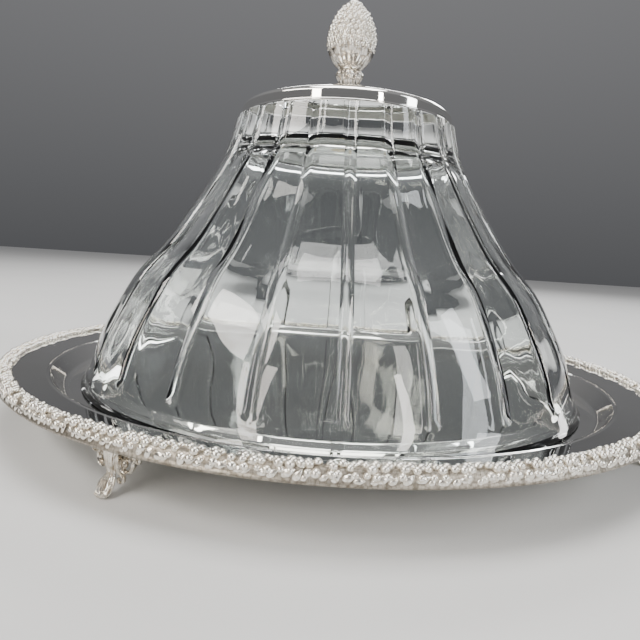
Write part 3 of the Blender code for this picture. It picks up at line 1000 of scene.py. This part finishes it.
@dataclass
class Bell:
    """Thick glass bell with cut flutes, a solid crown and a plain neck inside the cap."""

    palette: Palette
    flutes: int = 24
    phase: float = 2.5
    half_width: float = 2.7 * MM
    depth: float = 1.5 * MM
    start: float = 23.3 * MM
    shoulder: float = 58.2 * MM
    neck: float = 53.0 * MM
    # one flute's columns, as shares of its half width, and those of the panel beside it
    CUT: ClassVar[np.ndarray] = np.array([-1.0, -0.93, -0.7, -0.4, 0.0, 0.4, 0.7, 0.93, 1.0])
    PANEL: ClassVar[np.ndarray] = np.array([0.04, 0.15, 0.35, 0.5, 0.65, 0.85, 0.96])

    @property
    def under_cap(self) -> float:
        """Height of the shoulder, just under the cap's band."""
        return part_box("cap_shell")[0].z - GAP

    def outside(self) -> np.ndarray:
        """Return the bell's outside curve, foot to shoulder, as (radius, height) pairs."""
        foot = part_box("glass_dome")[0].z
        return smooth_through(np.array([
            (132.2 * MM, foot), (128.0 * MM, 21.5 * MM), (123.0 * MM, 37.5 * MM),
            (115.8 * MM, 52.5 * MM), (106.0 * MM, 69.5 * MM), (93.2 * MM, 84.5 * MM),
            (81.7 * MM, 101.5 * MM), (70.8 * MM, 119.0 * MM), (62.4 * MM, 136.0 * MM),
            (self.shoulder, self.under_cap),
        ]), 9)

    def inside(self) -> np.ndarray:
        """Return the bell's inside curve, foot to roof, ending near the axis."""
        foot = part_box("glass_dome")[0].z
        return smooth_through(np.array([
            (126.5 * MM, foot), (121.8 * MM, 21.5 * MM), (109.3 * MM, 52.5 * MM),
            (98.6 * MM, 69.5 * MM), (85.4 * MM, 84.5 * MM), (74.0 * MM, 101.5 * MM),
            (65.2 * MM, 118.5 * MM), (57.0 * MM, 130.5 * MM), (47.5 * MM, 136.0 * MM),
            (41.0 * MM, 137.0 * MM), (20.0 * MM, 137.8 * MM), (1.0 * MM, 137.9 * MM),
        ]), 6)

    def fluted_grid(self, profile: np.ndarray) -> np.ndarray:
        """Return the fluted outside.

        A flute's section is a parabola: the surface sinks by depth * (1 - s^2), s being the share
        of the half width. The half width is constant up the bell, and closes in a half circle at
        the flute's lower end. Between flutes the panels swell out very slightly.

        Args:
            profile: (radius, height) pairs.

        Returns:
            A grid of shape (profile points, columns, 3).
        """
        radius, height = profile[:, 0][:, None], profile[:, 1][:, None]
        rise = np.clip((height - self.start) / self.half_width, 0.0, 1.0)
        opening = np.sqrt(np.maximum(1.0 - (1.0 - rise) ** 2, 0.0))
        half = self.half_width * np.maximum(opening, 0.25)
        pitch = TURN / self.flutes
        in_cut = half / radius * self.CUT
        in_panel = half / radius + (pitch - 2.0 * half / radius) * self.PANEL
        offsets = np.concatenate([in_cut, in_panel], axis=1)
        fade_in = np.clip((height - self.start) / (4.0 * MM), 0.0, 1.0)
        swell_in = np.clip((height - self.start) / (20.0 * MM), 0.0, 1.0)
        cut_sink = self.depth * opening * (1.0 - self.CUT ** 2) * fade_in
        panel_sink = -0.35 * MM * np.sin(np.pi * self.PANEL) ** 0.7 * swell_in
        sink = np.concatenate([cut_sink, panel_sink], axis=1)
        middles = math.radians(self.phase) + np.arange(self.flutes) * pitch
        turn = (middles[None, :, None] + offsets[:, None, :]).reshape(len(profile), -1)
        reach = np.tile(radius - sink, (1, self.flutes))
        return bearing_vector(turn) * reach[..., None] + UP * height[..., None]

    def ring_like(self, grid_row: np.ndarray, profile: np.ndarray) -> np.ndarray:
        """Return plain rings of a profile whose columns stand at a grid row's bearings."""
        level = grid_row[:, :2] / np.linalg.norm(grid_row[:, :2], axis=1)[:, None]
        radius, height = profile[:, 0][:, None, None], profile[:, 1][:, None, None]
        flat = level[None] * radius
        return np.concatenate([flat, np.broadcast_to(height, (*flat.shape[:2], 1))], axis=2)

    def build(self) -> None:
        """Make the bell as one closed skin: roof, inside, foot, fluted outside, shoulder and neck."""
        outer = self.outside()
        ends = self.start + np.array([0.0, 0.25, 0.6, 1.1, 1.7, 2.3, 2.9, 4.0]) * MM
        heights = np.unique(np.concatenate([outer[:, 1], ends]))
        radii = np.interp(heights, outer[:, 1], outer[:, 0])
        profile = np.stack([radii, heights], axis=1)
        profile[0] = (profile[0, 0] - 0.5 * MM, profile[0, 1])
        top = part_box("glass_dome")[1].z
        fluted = self.fluted_grid(profile)
        lip = round_corners([(self.shoulder, self.under_cap, 0.0), (self.neck, self.under_cap, 0.4 * MM),
                             (self.neck, top, 0.8 * MM), (1.0 * MM, top, 0.0)], 4)[1:]
        inner = self.inside()[::-1]
        rings = [self.ring_like(fluted[0], inner), fluted, self.ring_like(fluted[-1], lip)]
        surface = Surface.empty().add_grid(np.concatenate(rings, axis=0), cap_ends=True)
        bell = surface.finish("glass_bell", self.palette.glass, 32.0)
        settle(bell, Body.DOME, Slot.GLASS, "glass_dome")


@dataclass
class Cap:
    """Spun silver cap: a polished band, a low dome and a raised seat for the knob."""

    palette: Palette
    wall: float = 1.2 * MM
    sphere: float = 143.0 * MM
    band_height: float = 5.9 * MM
    dome_foot: float = 6.5 * MM
    seat: float = 18.5 * MM
    hole: float = 2.3 * MM
    steps: int = 256

    def top(self, radius: np.ndarray) -> np.ndarray:
        """Return the dome's height at a radius: a sphere's cap standing on the band."""
        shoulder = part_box("cap_shell")[1].x - 1.0 * MM
        at_shoulder = math.sqrt(self.sphere ** 2 - shoulder ** 2)
        fall = np.sqrt(self.sphere ** 2 - np.asarray(radius) ** 2) - at_shoulder
        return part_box("cap_shell")[0].z + self.dome_foot + fall

    def build(self) -> None:
        """Make the cap's shell."""
        low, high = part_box("cap_shell")
        band, foot, seat_height = high.x, low.z, high.z
        band_top = foot + self.band_height
        radii = np.linspace(band - 1.4 * MM, self.seat + 0.9 * MM, 24)
        rows = [(band - self.wall, foot, 0.15 * MM), (band - 0.15 * MM, foot, 0.3 * MM),
                (band, foot + 0.9 * MM, 0.2 * MM), (band - 0.25 * MM, foot + 1.25 * MM, 0.15 * MM),
                (band - 0.2 * MM, band_top - 0.7 * MM, 0.5 * MM)]
        rows += [(float(r), float(self.top(r)), 0.0) for r in radii]
        rows += [(self.seat, seat_height, 0.5 * MM), (self.hole, seat_height, 0.2 * MM),
                 (self.hole, seat_height - self.wall, 0.2 * MM),
                 (self.seat - 1.2 * MM, seat_height - self.wall, 0.3 * MM)]
        rows += [(float(r) - 0.4 * MM, float(self.top(r)) - self.wall, 0.0) for r in radii[::-1]]
        rows += [(band - self.wall, band_top - 0.6 * MM, 0.3 * MM)]
        grid = revolve(round_corners(rows, 5), self.steps)
        shell = Surface.empty().add_grid(grid, close_rows=True)
        settle(shell.finish("cap_cover", self.palette.polished), Body.DOME, Slot.POLISHED, "cap_shell")


@dataclass
class Knob:
    """Cast finial: a leafy rosette, a ringed stem and a bud set with berries and leaves."""

    palette: Palette
    petals: int = 12
    ribs: int = 12
    berry_pitch: float = 2.9 * MM
    berry_size: float = 1.45 * MM
    steps: int = 144
    # lowest row, end and spacing of the rows of berries, above the knob's foot
    BERRY_ROWS: ClassVar[tuple] = (21.0, 44.0, 2.5)

    def rosette(self) -> None:
        """Make the rosette: a low disc whose edge is scalloped into petals with raised veins.

        The petal wave is cos(petals * bearing); it moves the edge in and out and grooves the face.
        """
        low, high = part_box("knob_rosette")
        reach, foot, top = high.x, low.z, high.z
        rows = [(2.3, 0.0), (15.2, 0.0), (16.6, 0.1), (17.0, 0.5), (16.6, 0.9), (15.2, 1.25),
                (12.5, 1.45), (9.5, 1.7), (7.0, 1.7), (2.3, 1.7)]
        profile = smooth_through(np.array(rows) * MM, 4)
        turn = np.arange(self.steps) * TURN / self.steps
        wave = 0.5 + 0.5 * np.cos(self.petals * turn)
        radius, height = profile[:, 0][:, None], profile[:, 1][:, None]
        outward = np.clip((radius - 5.0 * MM) / (12.0 * MM), 0.0, 1.0)
        reach_now = np.minimum(radius * (1.0 - 0.10 * outward * (1.0 - wave) ** 1.5), reach)
        upper = np.clip(height / (1.2 * MM), 0.0, 1.0)
        dip = 0.55 * MM * outward * upper * (1.0 - wave) ** 2
        tall = np.clip(foot + height - dip, foot, top)
        disc = Surface.empty().add_grid(turned_grid(reach_now, tall, turn), close_rows=True)
        settle(disc.finish("rosette_petals", self.palette.cast, 50.0), Body.DOME, Slot.CAST,
               "knob_rosette")

    def stem_profile(self, base: float) -> np.ndarray:
        """Return the stem and the bud's core as (radius, height) pairs above the base height."""
        rows = [(4.8, 0.0), (5.0, 1.2), (5.2, 2.4), (5.6, 4.0), (6.1, 5.2), (6.9, 6.7), (7.2, 8.0),
                (6.5, 9.3), (5.4, 10.8), (7.4, 13.4), (9.8, 17.0), (11.6, 21.5), (12.1, 25.5),
                (11.2, 31.0), (8.8, 36.5), (5.6, 40.8), (3.0, 43.6), (2.0, 45.6), (0.6, 46.0)]
        profile = smooth_through(np.array(rows) * MM, 4)
        profile[:, 1] += base
        return profile

    def bud(self) -> None:
        """Make the core with its chased ribs, then set leaves round its foot and berries above."""
        low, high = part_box("knob")
        base, peak, widest = low.z, high.z, high.x
        profile = self.stem_profile(base)
        turn = np.arange(self.steps) * TURN / self.steps
        radius, height = profile[:, 0][:, None], profile[:, 1][:, None]
        ribs = 1.0 + 0.045 * np.cos(self.ribs * turn) * (height < base + 10.0 * MM)
        grid = turned_grid(radius * ribs, np.minimum(height, peak), turn)
        core = Surface.empty().add_grid(grid, cap_ends=True)
        settle(core.finish("knob_stem", self.palette.cast, 50.0), Body.DOME, Slot.CAST, "knob")
        fruit = Surface.empty()
        rng = np.random.default_rng(SEED + 3)
        for k, tall in enumerate(np.arange(*self.BERRY_ROWS) * MM):
            at = float(np.interp(base + tall, profile[:, 1], profile[:, 0]))
            count = max(4, int(TURN * at / self.berry_pitch))
            bearing = (np.arange(count) + 0.5 * (k % 2)) * TURN / count
            bearing = bearing + rng.uniform(-0.15, 0.15, count) * TURN / count
            out = bearing_vector(bearing)
            along = np.cross(UP, out)
            size = self.berry_size * rng.uniform(0.88, 1.12, count)[:, None]
            reach = min(at, widest - 1.4 * MM)
            centre = out * reach + UP * (base + tall + rng.uniform(-0.3, 0.3, count)[:, None] * MM)
            axes = np.stack([-along * size, out * size, UP * size * 1.05], axis=1)
            place_balls(fruit, centre, axes, 7, 12)
        settle(fruit.finish("knob_berries", self.palette.berry, 80.0), Body.DOME, Slot.CAST)
        self.leaves(base)

    def leaves(self, base: float) -> None:
        """Wrap two rings of upright leaves round the bud's foot, each bent along its curve."""
        foliage = Surface.empty()
        profile = self.stem_profile(base)
        for ring, (foot, tall, wide, count) in enumerate(((10.4, 15.0, 2.9, 8), (10.8, 11.0, 2.3, 8))):
            leaf = leaf_grid(1.0, wide * MM, 0.0, 0.0, rows=15, columns=12)
            share = leaf[..., 0]
            height = base + (foot + tall * share) * MM
            reach = np.interp(height, profile[:, 1], profile[:, 0])
            flare = 0.9 * MM * share ** 3
            for k in range(count):
                out = bearing_vector((k + 0.5 * ring) * TURN / count)
                along = np.cross(out, UP)
                depth = reach + leaf[..., 2] * 0.8 + flare + 0.25 * MM * ring
                grid = out * depth[..., None] + along * leaf[..., 1, None] + UP * height[..., None]
                foliage.add_grid(grid, cap_ends=True)
        settle(foliage.finish("knob_leaves", self.palette.cast, 60.0), Body.DOME, Slot.CAST)

    def build(self) -> None:
        """Make the rosette, the stem, the berries and the leaves."""
        self.rosette()
        self.bud()


# ---------------------------------------------------------------------------------------------
# Studio
# ---------------------------------------------------------------------------------------------

def stand(name: str, data: bpy.types.ID, axes: tuple, place: tuple) -> bpy.types.Object:
    """Put a lamp or a camera into the scene.

    Args:
        name: the object's name.
        data: the lamp or the camera.
        axes: where its right, its up and its back point.
        place: where it stands.

    Returns:
        The new object.
    """
    turned = np.eye(4)
    turned[:3] = np.stack([*axes, place], axis=1)
    holder = bpy.data.objects.new(name, data)
    holder.matrix_world = Matrix(turned.tolist())
    bpy.context.scene.collection.objects.link(holder)
    return holder


@dataclass
class Studio:
    """Pale floor, soft lights and the camera."""

    floor_size: float = 6.0
    floor_points: int = 13
    aim_height: float = 0.08
    camera_place: tuple = (0.0, -0.3110, 0.0844)
    yaw: float = -0.024
    pitch: float = -0.122
    roll: float = 0.064
    lens: float = 30.86

    def floor(self) -> None:
        """Lay a large pale floor with a very faint mottle."""
        half = self.floor_size / 2
        side = np.linspace(-half, half, self.floor_points)
        across, along = np.meshgrid(side, side)
        grid = np.stack([across, along, np.zeros_like(across)], axis=-1)
        finish, graph, shader = start_material("pale_floor")
        place = graph.node("TexCoord").outputs["Object"]
        mottle = graph.node("TexNoise", {"Vector": place, "Scale": 9.0, "Detail": 4.0})
        share = graph.ramp(mottle.outputs["Fac"], 0.3, 0.7, 0.0, 1.0)
        colour = graph.mix(share, (0.66, 0.66, 0.655), (0.69, 0.69, 0.685))
        graph.feed(shader, {"Base Color": colour, "Roughness": 0.55})
        surface = Surface.empty().add_grid(grid, close_columns=False)
        surface.finish("floor", finish)

    def light(self, name: str, place: tuple, size: tuple, power: float, warmth: tuple) -> None:
        """Hang one soft rectangular light, aimed at the middle of the dome.

        Args:
            name: the light's name.
            place: where it hangs.
            size: its width and height.
            power: watts.
            warmth: its colour.
        """
        lamp = bpy.data.lights.new(name, "AREA")
        lamp.shape = "RECTANGLE"
        lamp.size, lamp.size_y = size
        lamp.energy = power
        lamp.color = warmth
        back = np.array(place) - self.aim_height * UP
        back /= np.linalg.norm(back)
        side = np.cross(UP, back)
        side /= np.linalg.norm(side)
        stand(name, lamp, (side, np.cross(back, side), back), place)

    def world(self) -> None:
        """Fill the room with a soft grey that brightens overhead."""
        world = bpy.data.worlds.new("studio")
        world.use_nodes = True
        bpy.context.scene.world = world
        graph = Graph(world.node_tree)
        background = world.node_tree.nodes["Background"]
        direction = graph.node("TexCoord").outputs["Generated"]
        height = graph.node("SeparateXYZ", {0: direction}).outputs[2]
        share = graph.ramp(height, -0.05, 0.9, 0.0, 1.0)
        colour = graph.mix(share, (0.105, 0.107, 0.113), (0.40, 0.40, 0.41))
        graph.feed(background, {"Color": colour, "Strength": 0.8})

    def camera(self) -> None:
        """Stand the camera low in front of the tray, a little tilted to one side."""
        forward = np.array([math.sin(self.yaw) * math.cos(self.pitch),
                            math.cos(self.yaw) * math.cos(self.pitch), math.sin(self.pitch)])
        level = np.array([math.cos(self.yaw), -math.sin(self.yaw), 0.0])
        above = np.cross(level, forward)
        right = math.cos(self.roll) * level + math.sin(self.roll) * above
        up = -math.sin(self.roll) * level + math.cos(self.roll) * above
        lens = bpy.data.cameras.new("camera")
        lens.lens = self.lens
        lens.sensor_width = 36.0
        lens.clip_start = 0.01
        bpy.context.scene.camera = stand("camera", lens, (right, up, -forward), self.camera_place)

    def build(self) -> None:
        """Make the floor, the lights, the room and the camera."""
        self.camera()
        self.floor()
        self.world()
        self.light("key", (-1.1, -0.7, 1.15), (1.0, 0.35), 20.0, (1.0, 0.96, 0.90))
        self.light("fill", (1.3, -0.5, 0.75), (0.3, 0.9), 9.0, (0.94, 0.97, 1.0))
        self.light("back", (0.3, 1.3, 1.0), (1.4, 0.25), 15.0, (1.0, 1.0, 1.0))
        self.light("overhead", (0.0, 0.05, 1.6), (0.9, 0.9), 22.0, (1.0, 0.99, 0.97))
        self.light("strip_left", (-0.75, -1.2, 0.55), (0.22, 0.7), 7.0, (1.0, 0.94, 0.86))
        self.light("strip_right", (0.75, -1.15, 0.50), (0.10, 0.7), 5.0, (1.0, 0.97, 0.92))


def dress_hidden_pieces(palette: Palette) -> None:
    """Give the fasteners, the cement and the gasket their finishes, on the CAD pieces themselves."""
    finishes = {
        "knob_stud": (palette.brass, Slot.BRASS),
        "stud_washer": (palette.brass, Slot.BRASS),
        "stud_nut": (palette.brass, Slot.BRASS),
        "cement_ring": (palette.cement, Slot.CEMENT),
        "cap_gasket": (palette.gasket, Slot.GASKET),
    }
    for node, (material, slot) in finishes.items():
        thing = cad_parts[node]
        for place in range(len(thing.material_slots)):
            thing.material_slots[place].material = material
        LOG.info("%s: CAD piece kept", node)


def main() -> None:
    """Build the studio, the tray and the dome."""
    logging.basicConfig(level=logging.INFO, format="%(name)s %(message)s")
    Studio().build()
    palette = Palette.build()
    tray = Tray(palette)
    tray.build()
    Border(palette, tray).build()
    for node, bearing in (("foot_left_front", -27.0), ("foot_right_front", 63.0),
                          ("foot_right_back", 153.0), ("foot_left_back", -117.0)):
        Foot(palette, tray, node, bearing).build()
    Bell(palette).build()
    Cap(palette).build()
    Knob(palette).build()
    dress_hidden_pieces(palette)
    bpy.context.view_layer.update()


if __name__ == "__main__":
    main()
